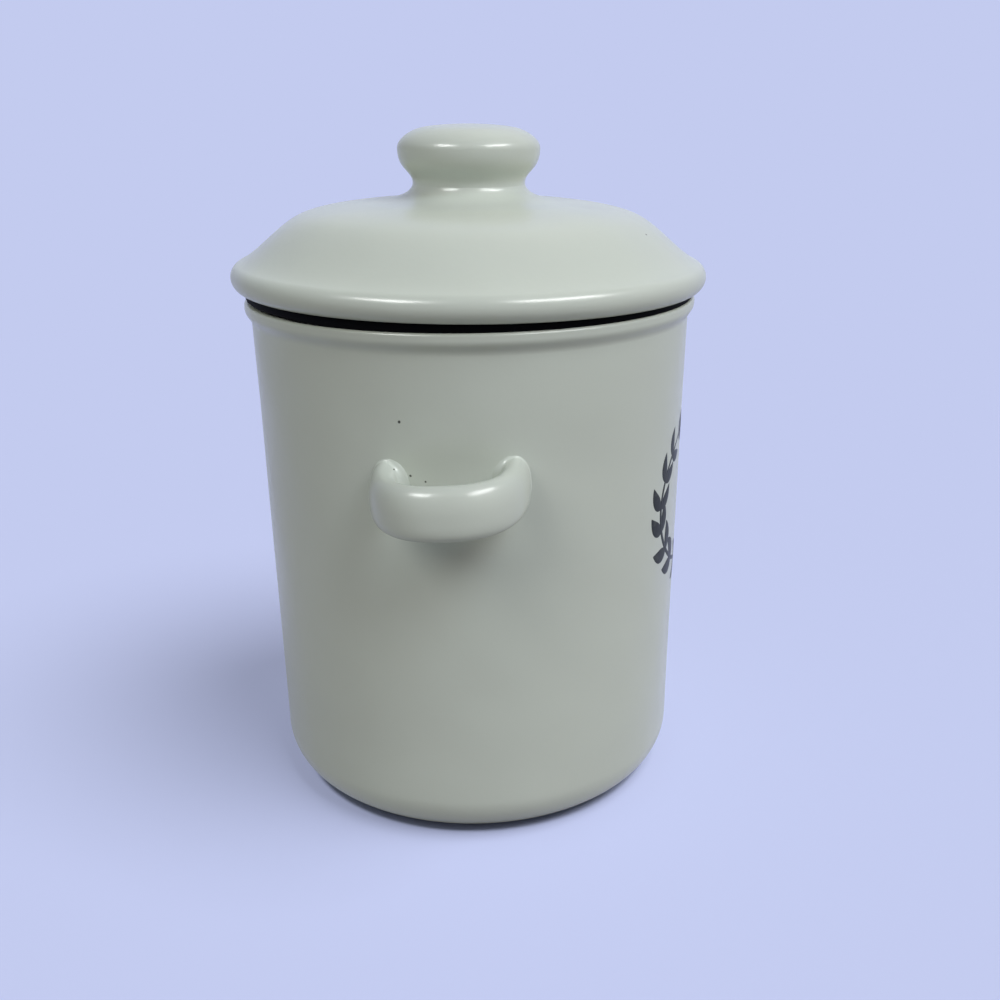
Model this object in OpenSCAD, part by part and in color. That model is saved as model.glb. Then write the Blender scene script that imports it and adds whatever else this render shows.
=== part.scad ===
// Grease crock with a domed lid, a silicone seal and a drop-in strainer. Millimetres.
// Z is up, z = 0 is the table, the axis of the crock is the Z axis.
// The front faces -Y, and the two lug handles stand out along -X and +X.

/* [Crock] */
// Diameter over the lip
lip_d = 116.6; // [108:0.2:128]
// Height of the lip above the table
crock_h = 131.6; // [120:0.1:160]
// How far the lip stands out past the wall under it
lip_overhang = 1.6; // [1:0.1:2.5]
// Height of the lip's upright edge
lip_edge_h = 2; // [1.5:0.1:3]
// Height of the cove that leads from the wall out to the lip
lip_cove_h = 5.8; // [4:0.1:8]
// Radius of the round on the lip's inner and outer edges
lip_round = 0.8; // [0.4:0.1:1]
// Thickness of the wall below the ledge
wall_t = 6.3; // [5:0.1:6.6]
// How much smaller the wall's radius is at the heel than under the lip
wall_draft = 1.8; // [0.6:0.1:3]
// Radius of the rounded heel between the wall and the foot
heel_r = 12.2; // [8:0.1:16]
// Thickness of the floor, above the recess in the foot
floor_t = 6; // [4:0.1:9]
// Radius of the round between the wall and the floor inside
inner_heel_r = 9; // [5:0.1:12]
// Width of the ring that the crock stands on
foot_w = 5; // [3:0.1:8]
// Depth of the recess inside that ring
foot_recess = 1.2; // [0.6:0.1:2]
// Depth below the lip of the ledge that carries the strainer
ledge_depth = 11; // [11:0.1:16]
// Width of that ledge
ledge_w = 2.3; // [2:0.1:2.8]

/* [Handles] */
// Depth below the lip of the handles' middle
handle_drop = 36; // [28:0.1:60]
// Width over the outside of a handle
handle_w = 37.8; // [32:0.1:44]
// How far a handle stands out from the wall
handle_reach = 20.4; // [17:0.1:24]
// Thickness of the strap, seen from above
strap_t = 6.8; // [5:0.1:8]
// Height of the strap
strap_h = 12.5; // [9:0.1:15]
// How much higher the strap's roots stand than its middle
strap_lift = 1.4; // [0:0.1:3]
// Radius of the clay fillet round each root
root_fillet = 1.2; // [0.8:0.1:2.5]

/* [Lid] */
// Diameter over the bead round the lid's edge
lid_d = 122.4; // [118:0.1:134]
// Radius of that bead
bead_r = 3.5; // [3:0.1:4.4]
// Height of the dome above the lid's underside
lid_rise = 21.1; // [18:0.1:26]
// Diameter at which the slope turns over into the crown
shoulder_d = 89; // [84:1:94]
// How much lower that shoulder is than the crown
shoulder_drop = 3.8; // [2:0.1:5]
// Thickness of the lid
lid_t = 5; // [4:0.1:6]
// Height of the collar under the knob, above the crown
collar_h = 4.4; // [3:0.1:7]
// Length of the skirt that centres the lid in the mouth
skirt_h = 10; // [9:0.1:11.5]
// Thickness of the skirt
skirt_t = 3.2; // [2.6:0.1:3.6]

/* [Knob] */
// Diameter of the knob
knob_d = 36.2; // [32:0.1:42]
// Diameter of its neck
neck_d = 28.7; // [24:0.1:30]
// Height of the knob above the collar
knob_h = 14.7; // [12:0.1:20]
// Diameter of the hollow inside the knob
knob_bore_d = 15; // [8:0.5:18]

/* [Seal] */
// Thickness of the flange between the lip and the lid
seal_t = 2; // [1.5:0.1:3]
// How far the flange's edge stays back from the lip's edge
seal_inset = 0.6; // [0.2:0.1:1.5]
// Thickness of the sleeve round the skirt
sleeve_t = 1.3; // [0.9:0.1:1.5]
// Gap between the fins and the bore of the mouth
fin_gap = 0.3; // [0.2:0.05:0.5]
// Radius of the bead that locks the sleeve into the skirt's groove
lock_r = 0.7; // [0.4:0.1:0.9]

/* [Strainer] */
// Depth of the cup below the ledge
cup_depth = 27; // [25:0.5:40]
// Thickness of the cup's sheet
sheet_t = 0.8; // [0.6:0.1:1]
// Gap between the cup's wall and the crock's wall at the ledge
cup_gap = 0.5; // [0.3:0.1:0.8]
// Gap between the cup's rim and the bore of the mouth
rim_gap = 0.4; // [0.3:0.1:0.6]
// Radius of the bead rolled round the rim
rim_bead_r = 0.9; // [0.7:0.1:1]
// How much smaller the cup's radius is at its floor than at its rim
cup_draft = 2.8; // [1.5:0.1:4]
// Outer radius of the bend between the cup's wall and its floor
cup_bend_r = 2; // [1.5:0.1:2.5]
// Width of the floor flange that carries the mesh
floor_flange_w = 4.6; // [4:0.1:7]
// Spacing of the mesh's wires
mesh_pitch = 2; // [1.8:0.1:4]
// Diameter of those wires
mesh_wire_d = 0.4; // [0.3:0.05:0.6]
// Height of the ring that clamps the mesh down
clamp_h = 1.4; // [1:0.1:2]

/* [Lift loops] */
// Diameter of the loops' wire
loop_wire_d = 1.8; // [1.4:0.1:2]
// Width of a loop between the middles of its legs
loop_w = 21; // [16:0.5:22]
// Height of a loop above its hinge when it stands up
loop_h = 17; // [14:0.5:18]
// Depth of the hinge below the ledge
hinge_drop = 5; // [4:0.1:6]
// Outer diameter of the clips' eyes
eye_d = 3.8; // [3.4:0.1:4.2]
// Length of each eye
eye_w = 2.5; // [2:0.1:3]
// Radial running clearance of the wire in its eye
eye_gap = 0.08; // [0.05:0.01:0.1]

/* [Hidden] */

$fn = 96;

GLAZE = "#c3cbc3";
SILICONE = "#141414";
STEEL = "#b9bcbd";
STEEL_WIRE = "#a3a7a9";

// Radii and levels of the crock
lip_r = lip_d / 2;
wall_top_r = lip_r - lip_overhang;
wall_heel_r = wall_top_r - wall_draft;
cove_top_z = crock_h - lip_edge_h;
wall_top_z = cove_top_z - lip_cove_h;
heel_z = heel_r;
foot_r = wall_heel_r - heel_r;
floor_z = foot_recess + floor_t;
ledge_z = crock_h - ledge_depth;
below_ledge_r = wall_r(ledge_z) - wall_t;
bore_r = below_ledge_r + ledge_w;
inner_floor_r = wall_r(floor_z + inner_heel_r) - wall_t;
handle_z = crock_h - handle_drop;

// Radii and levels of the lid, the knob and the seal
lid_r = lid_d / 2;
lid_z = crock_h + seal_t;
crown_z = lid_z + lid_rise;
collar_z = crown_z + collar_h;
neck_r = neck_d / 2;
knob_r = knob_d / 2;
knob_top_z = collar_z + knob_h;
knob_bore_r = knob_bore_d / 2;
fin_r = bore_r - fin_gap;
fin_reach = 1;
sleeve_r = fin_r - fin_reach;
skirt_r = sleeve_r - sleeve_t;
skirt_inner_r = skirt_r - skirt_t;
skirt_z = lid_z - skirt_h;
lock_z = crock_h - (skirt_h - seal_t) / 2;

// Radii and levels of the strainer
cup_r = below_ledge_r - cup_gap;
rim_r = bore_r - rim_gap;
cup_floor_r = cup_r - cup_draft;
cup_floor_z = ledge_z - cup_depth;
mesh_z = cup_floor_z + sheet_t;
mesh_hole_r = cup_floor_r - sheet_t - floor_flange_w;
mesh_r = cup_floor_r - cup_bend_r - mesh_wire_d;
// Play between wires that only rest on each other
lay_gap = 0.02;
clamp_z = mesh_z + 2 * mesh_wire_d + 3 * lay_gap;

// The lift loops' hinges
wire_r = loop_wire_d / 2;
wire_bend_r = 2 * wire_r;
leg_x = loop_w / 2;
foot_x = leg_x + wire_bend_r;
eye_x = foot_x + 0.4;
foot_end_x = eye_x + eye_w + 0.4;
eye_r = eye_d / 2;
hinge_z = ledge_z - hinge_drop;
hinge_y = chord_y(cup_inner_r(hinge_z), eye_x + eye_w) - eye_r;

// Radius of the crock's outside at height z between the heel and the cove
function wall_r(z) = wall_heel_r + wall_draft * (z - heel_z) / (wall_top_z - heel_z);
// Radius of the cup's inside at height z
function cup_inner_r(z) = cup_r - sheet_t - cup_draft * (ledge_z - z) / (cup_depth - cup_bend_r);
// Distance from the axis of a chord with half length x in a circle of radius r
function chord_y(r, x) = sqrt(r * r - x * x);
// Points of an arc about [cx, cy], from angle a to angle b
function arc(cx, cy, r, a, b, n = 10) =
    [for (i = [0:n]) let (t = a + (b - a) * i / n) [cx + r * cos(t), cy + r * sin(t)]];
// Points of a cubic curve from p to s, pulled towards q and r on the way
function curve(p, q, r, s, n = 10) =
    [for (i = [0:n]) let (t = i / n, u = 1 - t)
        u * u * u * p + 3 * u * u * t * q + 3 * u * t * t * r + t * t * t * s];
// Signed power, for superellipses
function spow(x, e) = sign(x) * pow(abs(x), e);

// ---------------------------------------------------------------- crock

// Outside of the crock from the foot to the lip, in r and z
function crock_outline() = concat(
    arc(foot_r, heel_r, heel_r, -90, 0, 14),
    curve([wall_top_r, wall_top_z],
          [wall_top_r + 0.1 * lip_overhang, wall_top_z + 0.45 * lip_cove_h],
          [lip_r, cove_top_z - 0.4 * lip_cove_h],
          [lip_r, cove_top_z], 8),
    arc(lip_r - lip_round, crock_h - lip_round, lip_round, 0, 90, 5)
);

// Inside of the crock from the lip down to the middle of the floor
function crock_inline() = concat(
    arc(bore_r + lip_round, crock_h - lip_round, lip_round, 90, 180, 5),
    [[bore_r, ledge_z], [below_ledge_r, ledge_z]],
    arc(inner_floor_r - inner_heel_r, floor_z + inner_heel_r, inner_heel_r, 0, -90, 10),
    [[0, floor_z]]
);

// Underside: the recess inside the foot ring
function foot_outline() = [
    [0, foot_recess],
    [foot_r - foot_w - foot_recess, foot_recess],
    [foot_r - foot_w, 0]
];

module crock() {
    color(GLAZE)
    rotate_extrude()
    polygon(concat(foot_outline(), crock_outline(), crock_inline()));
}

// The straight tapered stretch of the crock's outside, which the handles are luted to
module wall_cone() {
    translate([0, 0, heel_z])
    cylinder(h = wall_top_z - heel_z, r1 = wall_heel_r, r2 = wall_top_r);
}

// ---------------------------------------------------------------- handles

// A handle is a strap bent into a D seen from above and swept as one solid
strap_power = 2.43;      // squareness of the D
strap_section_power = 2.3; // squareness of the strap's section
strap_rings = 30;
strap_sides = 16;
strap_half_w = (handle_w - strap_t) / 2;
handle_wall_r = wall_r(handle_z);
// The strap's roots start a little inside the wall, where the wall cuts them off
root_x = chord_y(handle_wall_r, strap_half_w) - 1;
strap_depth = handle_wall_r + handle_reach - strap_t / 2 - root_x;

// Middle of the strap at angle t of the D, in x and y
function strap_point(t) = [
    root_x + strap_depth * spow(sin(t), 2 / strap_power),
    strap_half_w * spow(cos(t), 2 / strap_power)
];
// Unit vector across the strap at angle t, pointing away from the finger gap
function strap_normal(t) =
    let (e = 2 - 2 / strap_power,
         v = [spow(sin(t), e) / strap_depth, spow(cos(t), e) / strap_half_w])
    v / norm(v);
// How much the clay fillet thickens the strap at distance d from the wall
function root_flare(d) =
    d >= root_fillet ? 0
    : d <= 0 ? root_fillet
    : root_fillet - sqrt(root_fillet * root_fillet - pow(root_fillet - d, 2));
// Angles of the rings, closer together towards the roots
function ring_angle(i) = 90 - 90 * cos(180 * i / strap_rings);
// One ring of the strap's surface
function strap_ring(t) =
    let (p = strap_point(t), n = strap_normal(t),
         flare = root_flare(norm(p) - handle_wall_r),
         share = (p[0] - root_x) / strap_depth,
         half_t = strap_t / 2 + flare,
         half_h = (strap_h - 1.6 * (1 - share)) / 2 + flare,
         lift = strap_lift * pow(1 - share, 2))
    [for (j = [0:strap_sides - 1])
        let (a = 360 * j / strap_sides,
             across = half_t * spow(cos(a), 2 / strap_section_power),
             up = half_h * spow(sin(a), 2 / strap_section_power))
        [p[0] + n[0] * across, p[1] + n[1] * across, handle_z + lift + up]];

module handle() {
    m = strap_sides;
    points = [for (i = [0:strap_rings]) each strap_ring(ring_angle(i))];
    first_cap = [for (j = [0:m - 1]) m - 1 - j];
    last_cap = [for (j = [0:m - 1]) strap_rings * m + j];
    sides = [for (i = [0:strap_rings - 1]) for (j = [0:m - 1])
        let (k = (j + 1) % m) [i * m + j, i * m + k, (i + 1) * m + k, (i + 1) * m + j]];
    color(GLAZE)
    difference() {
        polyhedron(points = points, faces = concat([first_cap], [last_cap], sides));
        wall_cone();
    }
}

module right_handle() {
    handle();
}

module left_handle() {
    mirror([1, 0, 0]) handle();
}

// ---------------------------------------------------------------- lid

// Outside of the lid from the underside of the bead up to the collar, in r and z
bead_end = 65; // angle at which the bead runs out into the slope
function lid_outline() =
    let (bead_x = lid_r - bead_r,
         bead_z = lid_z + bead_r,
         run_out = [bead_x + bead_r * cos(bead_end), bead_z + bead_r * sin(bead_end)],
         shoulder = [shoulder_d / 2, crown_z - shoulder_drop],
         crown = [2 * neck_r, crown_z],
         collar = [neck_r, collar_z],
         span = run_out[0] - shoulder[0],
         climb = shoulder[1] - run_out[1])
    concat(
        arc(bead_x, bead_z, bead_r, -90, bead_end, 14),
        curve(run_out,
              run_out + [-0.3 * span, 0.18 * climb],
              shoulder + [0.37 * span, -0.21 * climb],
              shoulder, 10),
        curve(shoulder,
              shoulder + [-3.6, 0.7 * shoulder_drop],
              crown + [3.9, -0.15 * shoulder_drop],
              crown, 8),
        curve(crown,
              crown + [-0.35 * neck_r, 0.12 * collar_h],
              collar + [0.07 * neck_r, -0.85 * collar_h],
              collar, 8)
    );

// Inside of the lid from the hole under the knob out and down to the skirt
function lid_inline() =
    let (inner_crown_z = crown_z - lid_t)
    concat(
        [[knob_bore_r, collar_z], [knob_bore_r, inner_crown_z]],
        curve([shoulder_d / 2 - 19, inner_crown_z],
              [shoulder_d / 2 - 7, inner_crown_z],
              [skirt_inner_r, inner_crown_z - 0.35 * (inner_crown_z - lid_z)],
              [skirt_inner_r, lid_z + 0.35 * (inner_crown_z - lid_z)], 10),
        arc(skirt_inner_r + skirt_t / 2, skirt_z + skirt_t / 2, skirt_t / 2, 180, 360, 8),
        [[skirt_r, lid_z]]
    );

module lid() {
    color(GLAZE)
    rotate_extrude()
    difference() {
        polygon(concat(lid_outline(), lid_inline()));
        // Groove that the seal's bead snaps into
        translate([skirt_r, lock_z]) circle(r = lock_r, $fn = 24);
    }
}

module lid_knob() {
    belly = [knob_r, collar_z + 0.6 * knob_h];
    brow = [0.67 * knob_r, knob_top_z - 0.065 * knob_h];
    foot = [neck_r, collar_z];
    hollow_z = collar_z + 0.5 * knob_h;
    color(GLAZE)
    rotate_extrude()
    polygon(concat(
        [[knob_bore_r, collar_z]],
        curve(foot, foot + [-0.02 * neck_r, 0.23 * knob_h],
              belly + [0, -0.38 * knob_h], belly, 10),
        curve(belly, belly + [0, 0.15 * knob_h],
              brow + [0.15 * knob_r, -0.045 * knob_h], brow, 8),
        curve(brow, brow + [-0.14 * knob_r, 0.04 * knob_h],
              [0.25 * knob_r, knob_top_z], [0, knob_top_z], 6),
        arc(0, hollow_z - knob_bore_r / 2, knob_bore_r, 90, 30, 6)
    ));
}

// ---------------------------------------------------------------- seal

// A fin on the sleeve, with its tip at height z and its root drooping below it
module fin(z) {
    polygon([[sleeve_r - 0.1, z - 1.1], [fin_r, z], [fin_r, z + 0.35], [sleeve_r - 0.1, z + 0.35]]);
}

module seal_ring() {
    sleeve_h = skirt_h - seal_t - skirt_t / 2;
    edge_r = seal_t / 4;
    seal_r = lip_r - seal_inset;
    color(SILICONE)
    rotate_extrude()
    union() {
        // Flange between the lip and the lid, with a rounded edge
        polygon(concat(
            [[skirt_r, crock_h - sleeve_h], [sleeve_r, crock_h - sleeve_h], [sleeve_r, crock_h]],
            arc(seal_r - edge_r, crock_h + edge_r, edge_r, -90, 0, 4),
            arc(seal_r - edge_r, lid_z - edge_r, edge_r, 0, 90, 4),
            [[skirt_r, lid_z]]
        ));
        fin(crock_h - 0.35 * sleeve_h);
        fin(crock_h - 0.8 * sleeve_h);
        translate([skirt_r, lock_z]) circle(r = lock_r, $fn = 24);
    }
}

// ---------------------------------------------------------------- strainer

module strainer_cup() {
    bead_x = rim_r - rim_bead_r;
    bead_end = 180 + asin((rim_bead_r - sheet_t) / rim_bead_r);
    bend_x = cup_floor_r - cup_bend_r;
    bend_z = cup_floor_z + cup_bend_r;
    color(STEEL)
    rotate_extrude()
    polygon(concat(
        // Underside of the flange that lies on the ledge, and the bead rolled round it
        [[cup_r, ledge_z]],
        arc(bead_x, ledge_z + rim_bead_r, rim_bead_r, -90, bead_end, 14),
        // Inside: the mouth's pressed edge, the tapered wall, the bend and the floor flange
        arc(cup_r, ledge_z, sheet_t, 90, 180, 4),
        arc(bend_x, bend_z, cup_bend_r - sheet_t, 0, -90, 6),
        [[mesh_hole_r, mesh_z], [mesh_hole_r, cup_floor_z]],
        arc(bend_x, bend_z, cup_bend_r, -90, 0, 6)
    ));
}

// One layer of straight wires along X, trimmed to the mesh's round edge
module wire_layer(z) {
    last = floor((mesh_r - mesh_wire_d) / mesh_pitch);
    for (i = [-last:last]) {
        half = chord_y(mesh_r, i * mesh_pitch);
        translate([-half, i * mesh_pitch, z])
        rotate([0, 90, 0])
        cylinder(h = 2 * half, d = mesh_wire_d, $fn = 16);
    }
}

module strainer_mesh() {
    color(STEEL_WIRE) {
        wire_layer(mesh_z + lay_gap + mesh_wire_d / 2);
        rotate([0, 0, 90]) wire_layer(mesh_z + 2 * lay_gap + 1.5 * mesh_wire_d);
    }
}

module mesh_clamp_ring() {
    clamp_r = mesh_r;
    clamp_inner_r = mesh_hole_r + 0.3;
    edge_r = 0.35 * clamp_h;
    color(STEEL)
    rotate_extrude()
    polygon(concat(
        [[clamp_inner_r, clamp_z], [clamp_r, clamp_z]],
        arc(clamp_r - edge_r, clamp_z + clamp_h - edge_r, edge_r, 0, 90, 4),
        arc(clamp_inner_r + edge_r, clamp_z + clamp_h - edge_r, edge_r, 90, 180, 4)
    ));
}

// ---------------------------------------------------------------- lift loops

// An eye with the web that welds it to the cup's wall, on the rear side
module clip(x) {
    web_t = 2 * sheet_t;
    intersection() {
        difference() {
            union() {
                translate([x, hinge_y, hinge_z]) rotate([0, 90, 0]) cylinder(h = eye_w, r = eye_r);
                translate([x, hinge_y, hinge_z + eye_r - web_t]) cube([eye_w, 2 * eye_r, web_t]);
            }
            translate([x - 1, hinge_y, hinge_z]) rotate([0, 90, 0])
            cylinder(h = eye_w + 2, r = wire_r + eye_gap);
        }
        // The inside of the cup's wall, which the web ends against
        translate([0, 0, cup_floor_z + cup_bend_r])
        cylinder(h = cup_depth - cup_bend_r,
                 r1 = cup_inner_r(cup_floor_z + cup_bend_r), r2 = cup_inner_r(ledge_z));
    }
}

module loop_clips() {
    color(STEEL)
    for (side = [0, 180]) rotate([0, 0, side]) {
        clip(eye_x);
        clip(-eye_x - eye_w);
    }
}

// One half of a loop: half the bow, a leg, the bend and the foot in the eye
module loop_half() {
    leg_len = loop_h - wire_r - leg_x;
    translate([0, 0, -leg_len]) rotate([90, 0, 0]) rotate([0, 0, -90])
    rotate_extrude(angle = 90) translate([leg_x, 0]) circle(r = wire_r, $fn = 32);
    translate([leg_x, 0, -leg_len])
    cylinder(h = leg_len - wire_bend_r, r = wire_r, $fn = 32);
    translate([foot_x, 0, -wire_bend_r]) rotate([90, 0, 0]) rotate([0, 0, 90])
    rotate_extrude(angle = 90) translate([wire_bend_r, 0]) circle(r = wire_r, $fn = 32);
    translate([foot_x, 0, 0]) rotate([0, 90, 0])
    cylinder(h = foot_end_x - foot_x, r = wire_r, $fn = 32);
}

module lift_loop() {
    color(STEEL_WIRE)
    translate([0, hinge_y, hinge_z]) {
        loop_half();
        mirror([1, 0, 0]) loop_half();
    }
}

module rear_loop() {
    lift_loop();
}

module front_loop() {
    rotate([0, 0, 180]) lift_loop();
}

crock();
left_handle();
right_handle();
lid();
lid_knob();
seal_ring();
strainer_cup();
strainer_mesh();
mesh_clamp_ring();
loop_clips();
front_loop();
rear_loop();
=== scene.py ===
"""Looks of a glazed grease crock with a domed lid, a silicone seal and a lift-out strainer.

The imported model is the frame. Every piece here is a surface worked out with numpy in metres, in the
frame's own axes: Z up, the front towards -Y, the lug handles along -X and +X.
"""

import enum
import logging
import math
from collections.abc import Callable, Mapping, Sequence
from dataclasses import dataclass, field

import bpy
import numpy as np
from mathutils import Matrix, Vector


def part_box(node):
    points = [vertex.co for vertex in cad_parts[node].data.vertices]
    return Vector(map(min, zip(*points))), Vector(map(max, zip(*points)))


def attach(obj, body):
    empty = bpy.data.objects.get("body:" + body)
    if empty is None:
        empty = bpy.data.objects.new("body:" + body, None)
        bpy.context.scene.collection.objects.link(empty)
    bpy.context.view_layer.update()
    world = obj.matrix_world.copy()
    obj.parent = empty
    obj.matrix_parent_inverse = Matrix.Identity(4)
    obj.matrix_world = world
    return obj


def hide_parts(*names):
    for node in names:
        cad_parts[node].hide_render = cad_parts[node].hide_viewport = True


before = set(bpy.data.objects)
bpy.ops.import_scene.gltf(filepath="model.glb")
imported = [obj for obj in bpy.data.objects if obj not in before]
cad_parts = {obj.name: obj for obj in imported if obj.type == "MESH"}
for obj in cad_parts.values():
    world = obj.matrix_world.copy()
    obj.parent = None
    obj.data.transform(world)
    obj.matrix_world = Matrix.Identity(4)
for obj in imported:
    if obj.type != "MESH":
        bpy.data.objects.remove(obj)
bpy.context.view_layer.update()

MM = 0.001
SAME_POINT = 1e-6
Colour = tuple[float, float, float, float]
Point = Sequence[float]
WHITE: Colour = (1.0, 1.0, 1.0, 1.0)
log = logging.getLogger("grease_crock")


# ------------------------------------------------------------------ outlines


class Outline:
    """A flat line drawn in one go: each stretch starts where the one before it ended."""

    def __init__(self, x: float, y: float) -> None:
        """Puts the pen down at a point."""
        self.points = np.array([[x, y]], float)

    def add(self, points: np.ndarray) -> "Outline":
        """Adds a stretch and drops points that repeat the one before.

        Args:
            points: The stretch's points.

        Returns:
            This outline, with neighbours at least a micron apart.
        """
        points = np.concatenate([self.points, points])
        step = np.linalg.norm(np.diff(points, axis=0), axis=1)
        self.points = points[np.concatenate([[True], step > SAME_POINT])]
        return self

    def line(self, x: float, y: float, count: int = 1) -> "Outline":
        """Goes straight to a point, in count steps."""
        t = np.linspace(0, 1, count + 1)[:, None]
        return self.add((1 - t) * self.points[-1] + t * (x, y))

    def curve(self, q: Point, r: Point, s: Point, count: int) -> "Outline":
        """Follows a cubic Bezier curve from the pen's place p.

        Args:
            q: Point that pulls the start.
            r: Point that pulls the end.
            s: The end.
            count: Number of steps.

        Returns:
            This outline, longer by u^3 p + 3 u^2 t q + 3 u t^2 r + t^3 s, with u = 1 - t.
        """
        t = np.linspace(0, 1, count + 1)[:, None]
        u = 1 - t
        p, q, r, s = (np.asarray(point) for point in (self.points[-1], q, r, s))
        return self.add(u**3 * p + 3 * u**2 * t * q + 3 * u * t**2 * r + t**3 * s)

    def arc(self, x: float, y: float, radius: float, start: float, stop: float, count: int) -> "Outline":
        """Goes round part of a circle, after a straight step to it where the pen is elsewhere.

        Args:
            x: Place of the circle's middle across.
            y: Height of its middle.
            radius: Radius of the circle.
            start: First angle, in degrees.
            stop: Last angle, in degrees.
            count: Number of steps.

        Returns:
            This outline, longer by the middle plus radius times (cos, sin) of the angle.
        """
        angle = np.radians(np.linspace(start, stop, count + 1))
        return self.add(np.stack([x + radius * np.cos(angle), y + radius * np.sin(angle)], axis=-1))


def circle(sides: int) -> np.ndarray:
    """Angles of so many even steps round a circle."""
    return np.linspace(0, 2 * np.pi, sides, endpoint=False)


def turned(radius: np.ndarray, angle: np.ndarray, height: np.ndarray) -> np.ndarray:
    """Points (r cos a, r sin a, z) round the Z axis."""
    return np.stack([radius * np.cos(angle), radius * np.sin(angle), height], axis=-1)


def tangents(path: np.ndarray) -> np.ndarray:
    """Unit vectors along a path, one for each of its points."""
    along = np.gradient(path, axis=0)
    return along / np.linalg.norm(along, axis=1, keepdims=True)


def signed_power(x: np.ndarray, exponent: float) -> np.ndarray:
    """The power of a number's size, with the number's sign, for superellipses."""
    return np.sign(x) * np.abs(x) ** exponent


# ------------------------------------------------------------------ meshes


class End(enum.Enum):
    """What closes the first or the last row of a patch."""

    RING = "joins the row at the other end"
    POLE = "shrinks to one point"
    CAP = "is filled with one flat face"


@dataclass
class Patch:
    """A grid of points whose columns always wrap round, with its rows closed as told."""

    points: np.ndarray
    first: End = End.RING
    last: End = End.RING

    def vertices(self) -> np.ndarray:
        """Lists the points.

        Returns:
            All points in one flat list, with each pole's row cut down to one point at its end.
        """
        poles = [self.first is End.POLE, self.last is End.POLE]
        inner = self.points[poles[0] : len(self.points) - poles[1]]
        tips = [self.points[row, :1] for row, pole in zip((0, -1), poles) if pole]
        return np.concatenate([inner.reshape(-1, 3), *tips])

    def faces(self) -> list[list[int]]:
        """Spans the grid.

        Returns:
            Quads between neighbouring rows and columns, fans at poles and one face at caps.
        """
        count = self.points.shape[0] - (self.first is End.POLE) - (self.last is End.POLE)
        sides = self.points.shape[1]
        row = np.arange(count if self.first is End.RING else count - 1)[:, None]
        col = np.arange(sides)[None, :]
        after, above = (col + 1) % sides, (row + 1) % count
        quads = [row * sides + col, row * sides + after, above * sides + after, above * sides + col]
        faces = np.stack(quads, axis=-1).reshape(-1, 4).tolist()
        ring = np.arange(sides)
        top = (count - 1) * sides
        pole = count * sides
        if self.first is End.POLE:
            faces += np.stack([(ring + 1) % sides, ring, np.full(sides, pole)], axis=-1).tolist()
            pole += 1
        if self.last is End.POLE:
            faces += np.stack([top + ring, top + (ring + 1) % sides, np.full(sides, pole)], axis=-1).tolist()
        if self.first is End.CAP:
            faces.append(ring[::-1].tolist())
        if self.last is End.CAP:
            faces.append((top + ring).tolist())
        return faces


def enclosed_volume(points: np.ndarray, faces: list[list[int]]) -> float:
    """Volume inside a closed mesh, negative when its faces point inwards.

    Args:
        points: The mesh's vertices.
        faces: Its faces, as lists of indices.

    Returns:
        The sum over fan triangles of a . (b x c) / 6.
    """
    volume = 0.0
    for size in {len(f) for f in faces}:
        index = np.array([f for f in faces if len(f) == size])
        for k in range(1, size - 1):
            a, b, c = points[index[:, 0]], points[index[:, k]], points[index[:, k + 1]]
            volume += float(np.einsum("ij,ij->", a, np.cross(b, c))) / 6
    return volume


def stand(name: str, data: bpy.types.ID) -> bpy.types.Object:
    """Puts a mesh, a lamp or a camera into the scene.

    Args:
        name: The object's name.
        data: What it shows.

    Returns:
        The new object, at the origin.
    """
    thing = bpy.data.objects.new(name, data)
    bpy.context.scene.collection.objects.link(thing)
    return thing


def mesh_object(name: str, points: np.ndarray, faces: list[list[int]],
                material: bpy.types.Material) -> bpy.types.Object:
    """Makes one smooth-shaded object.

    Args:
        name: The object's name.
        points: Its vertices.
        faces: Its faces, as lists of indices.
        material: Its finish.

    Returns:
        The new object, at the origin.
    """
    mesh = bpy.data.meshes.new(name)
    mesh.from_pydata(points.tolist(), [], faces)
    mesh.polygons.foreach_set("use_smooth", [True] * len(mesh.polygons))
    mesh.materials.append(material)
    return stand(name, mesh)


def make_piece(name: str, patches: Sequence[Patch], material: bpy.types.Material,
               sharp: float = 50.0) -> bpy.types.Object:
    """Puts closed patches into one object.

    Args:
        name: The piece's name.
        patches: Closed surfaces; each is turned to face outwards by itself.
        material: The piece's finish.
        sharp: Angle in degrees past which an edge stays sharp.

    Returns:
        The new object, at the origin.
    """
    points: list[np.ndarray] = []
    faces: list[list[int]] = []
    start = 0
    for patch in patches:
        own_points, own_faces = patch.vertices(), patch.faces()
        order = -1 if enclosed_volume(own_points, own_faces) < 0 else 1
        points.append(own_points)
        faces += [[start + i for i in f[::order]] for f in own_faces]
        start += len(own_points)
    piece = mesh_object(name, np.concatenate(points), faces, material)
    piece.data.set_sharp_from_angle(angle=math.radians(sharp))
    piece.data.validate()
    return piece


def revolve(outline: np.ndarray, segments: int = 192, first: End = End.RING, last: End = End.RING,
            swell: Callable[[np.ndarray, np.ndarray], np.ndarray] | None = None) -> Patch:
    """Turns an outline of radius and height about the Z axis.

    Args:
        outline: Points as radius and height.
        segments: Number of columns round the axis.
        first: What closes the outline's first point.
        last: What closes its last point.
        swell: Extra radius as a function of angle and height, zero when left out.

    Returns:
        The surface ((r + swell) cos a, (r + swell) sin a, z).
    """
    angle = circle(segments)[None, :]
    radius, height = (np.repeat(outline[:, i : i + 1], segments, axis=1) for i in (0, 1))
    if swell is not None:
        radius = radius + swell(angle, height) * (radius > 0)
    return Patch(turned(radius, angle, height), first, last)


# ------------------------------------------------------------------ shaders


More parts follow.
